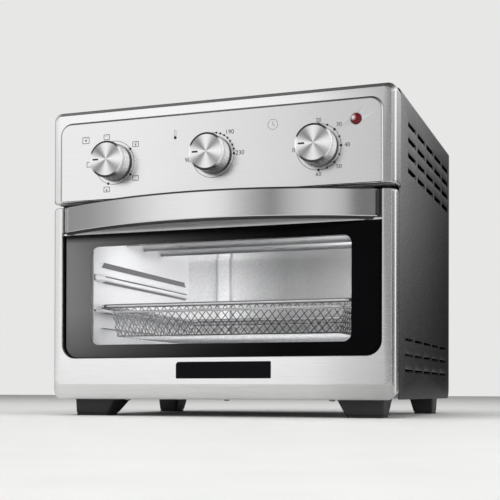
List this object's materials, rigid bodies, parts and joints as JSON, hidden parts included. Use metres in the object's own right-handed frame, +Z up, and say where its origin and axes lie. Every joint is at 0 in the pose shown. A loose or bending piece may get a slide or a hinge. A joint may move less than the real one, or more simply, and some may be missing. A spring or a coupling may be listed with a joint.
{
  "type": "air fryer",
  "caption": "Countertop air fryer oven with a drop-down glass door, bowed handle, turning dials, wire basket, crumb tray and ceiling fan.",
  "frame": {"origin": "on the counter under the middle of the whole object's box, in the plane of the undersides of the feet", "axes": "+Z up, the front with the door and dials faces -Y, +X is to the right seen from the front"},
  "size_m": [0.368, 0.372, 0.321],
  "materials": {
    "black_coated_steel": "satin black powder coat",
    "galvanised_steel": "zinc-coated sheet, matt",
    "bright_cavity_steel": "bright aluminised sheet",
    "black_foot_plastic": "moulded, fine matt",
    "stainless_front": "pale satin stainless",
    "polished_handle_steel": "polished stainless",
    "black_handle_plastic": "satin black",
    "black_enamel": "gloss black",
    "tinted_door_glass": "clear toughened glass with a black printed border",
    "clear_inner_glass": "clear toughened glass",
    "seal_rubber": "matt",
    "black_gloss_print": "gloss black, blank",
    "switch_plastic": "moulded",
    "timer_plastic": "moulded",
    "plated_steel": "zinc plated",
    "red_lens": "clear deep red",
    "lamp_glass": "clear",
    "heater_tube_steel": "heat-treated stainless tube",
    "heater_ceramic": "unglazed",
    "motor_iron": "laminated, bare",
    "coil_copper": "varnished copper wire",
    "knob_metal": "radially brushed cap, satin skirt",
    "fan_aluminium": "bare sheet",
    "chromed_wire": "bright plated wire"
  },
  "bodies": {
    "housing": {"outer_wrap": "black_coated_steel", "back_cover": "black_coated_steel", "base_plate": "galvanised_steel", "front_chassis": "galvanised_steel", "foot_front_left": "black_foot_plastic", "foot_front_right": "black_foot_plastic", "foot_rear_left": "black_foot_plastic", "foot_rear_right": "black_foot_plastic", "control_fascia": "stainless_front", "control_bracket": "galvanised_steel", "function_switch": "switch_plastic", "thermostat": "plated_steel", "timer_unit": "timer_plastic", "indicator_lens": "red_lens", "indicator_lamp": "lamp_glass", "cavity_left_wall": "bright_cavity_steel", "cavity_right_wall": "bright_cavity_steel", "cavity_back_wall": "bright_cavity_steel", "cavity_roof": "bright_cavity_steel", "cavity_floor": "bright_cavity_steel", "upper_heater_front": "heater_tube_steel", "upper_heater_middle": "heater_tube_steel", "upper_heater_rear": "heater_tube_steel", "lower_heater_front": "heater_tube_steel", "lower_heater_rear": "heater_tube_steel", "heater_ceramics": "heater_ceramic", "fan_case": "galvanised_steel", "fan_motor": "motor_iron", "motor_coil": "coil_copper", "hinge_brackets": "galvanised_steel", "hinge_pins": "plated_steel", "cabinet_screws": "plated_steel"},
    "door": {"door_frame": "stainless_front", "door_glass": "tinted_door_glass", "door_inner_panel": "black_enamel", "door_inner_glass": "clear_inner_glass", "door_seal": "seal_rubber", "door_top_rail": "black_handle_plastic", "door_trim_strip": "polished_handle_steel", "handle_band": "polished_handle_steel", "handle_liner": "black_handle_plastic", "badge_plate": "black_gloss_print"},
    "function_dial": {"function_knob": "knob_metal", "function_shaft": "plated_steel"},
    "temperature_dial": {"temperature_knob": "knob_metal", "temperature_shaft": "plated_steel"},
    "timer_dial": {"timer_knob": "knob_metal", "timer_shaft": "plated_steel"},
    "fan_rotor": {"convection_fan": "fan_aluminium", "motor_shaft": "plated_steel", "cooling_fan": "fan_aluminium"},
    "basket": {"basket_tub": "chromed_wire", "basket_rim": "chromed_wire"},
    "tray": {"crumb_tray": "bright_cavity_steel"}
  },
  "joints": [
    {"name": "door_hinge", "type": "hinge", "parent": "housing", "child": "door", "pos_m": [0, -0.135, 0.0255], "axis": [1, 0, 0], "range_deg": [0, 80], "stiffness_Nm_per_rad": 0.45, "springref_deg": -28.65},
    {"name": "function_turn", "type": "hinge", "parent": "housing", "child": "function_dial", "pos_m": [-0.1093, -0.156, 0.2623], "axis": [0, 1, 0], "range_deg": [0, 288]},
    {"name": "temperature_turn", "type": "hinge", "parent": "housing", "child": "temperature_dial", "pos_m": [0, -0.156, 0.2623], "axis": [0, 1, 0], "range_deg": [0, 180]},
    {"name": "timer_turn", "type": "hinge", "parent": "housing", "child": "timer_dial", "pos_m": [0.1093, -0.156, 0.2623], "axis": [0, 1, 0], "range_deg": [0, 270]},
    {"name": "fan_spin", "type": "hinge", "parent": "housing", "child": "fan_rotor", "pos_m": [0, 0.014, 0.25], "axis": [0, 0, 1], "continuous": true},
    {"name": "basket_slide", "type": "slide", "parent": "housing", "child": "basket", "axis": [0, -1, 0], "range_m": [0, 0.063]},
    {"name": "tray_slide", "type": "slide", "parent": "housing", "child": "tray", "axis": [0, -1, 0], "range_m": [0, 0.035]}
  ],
  "couplings": [
    {"joint": "basket_slide", "follows": "door_hinge", "m_per_rad": 0.045},
    {"joint": "tray_slide", "follows": "door_hinge", "m_per_rad": 0.025}
  ]
}
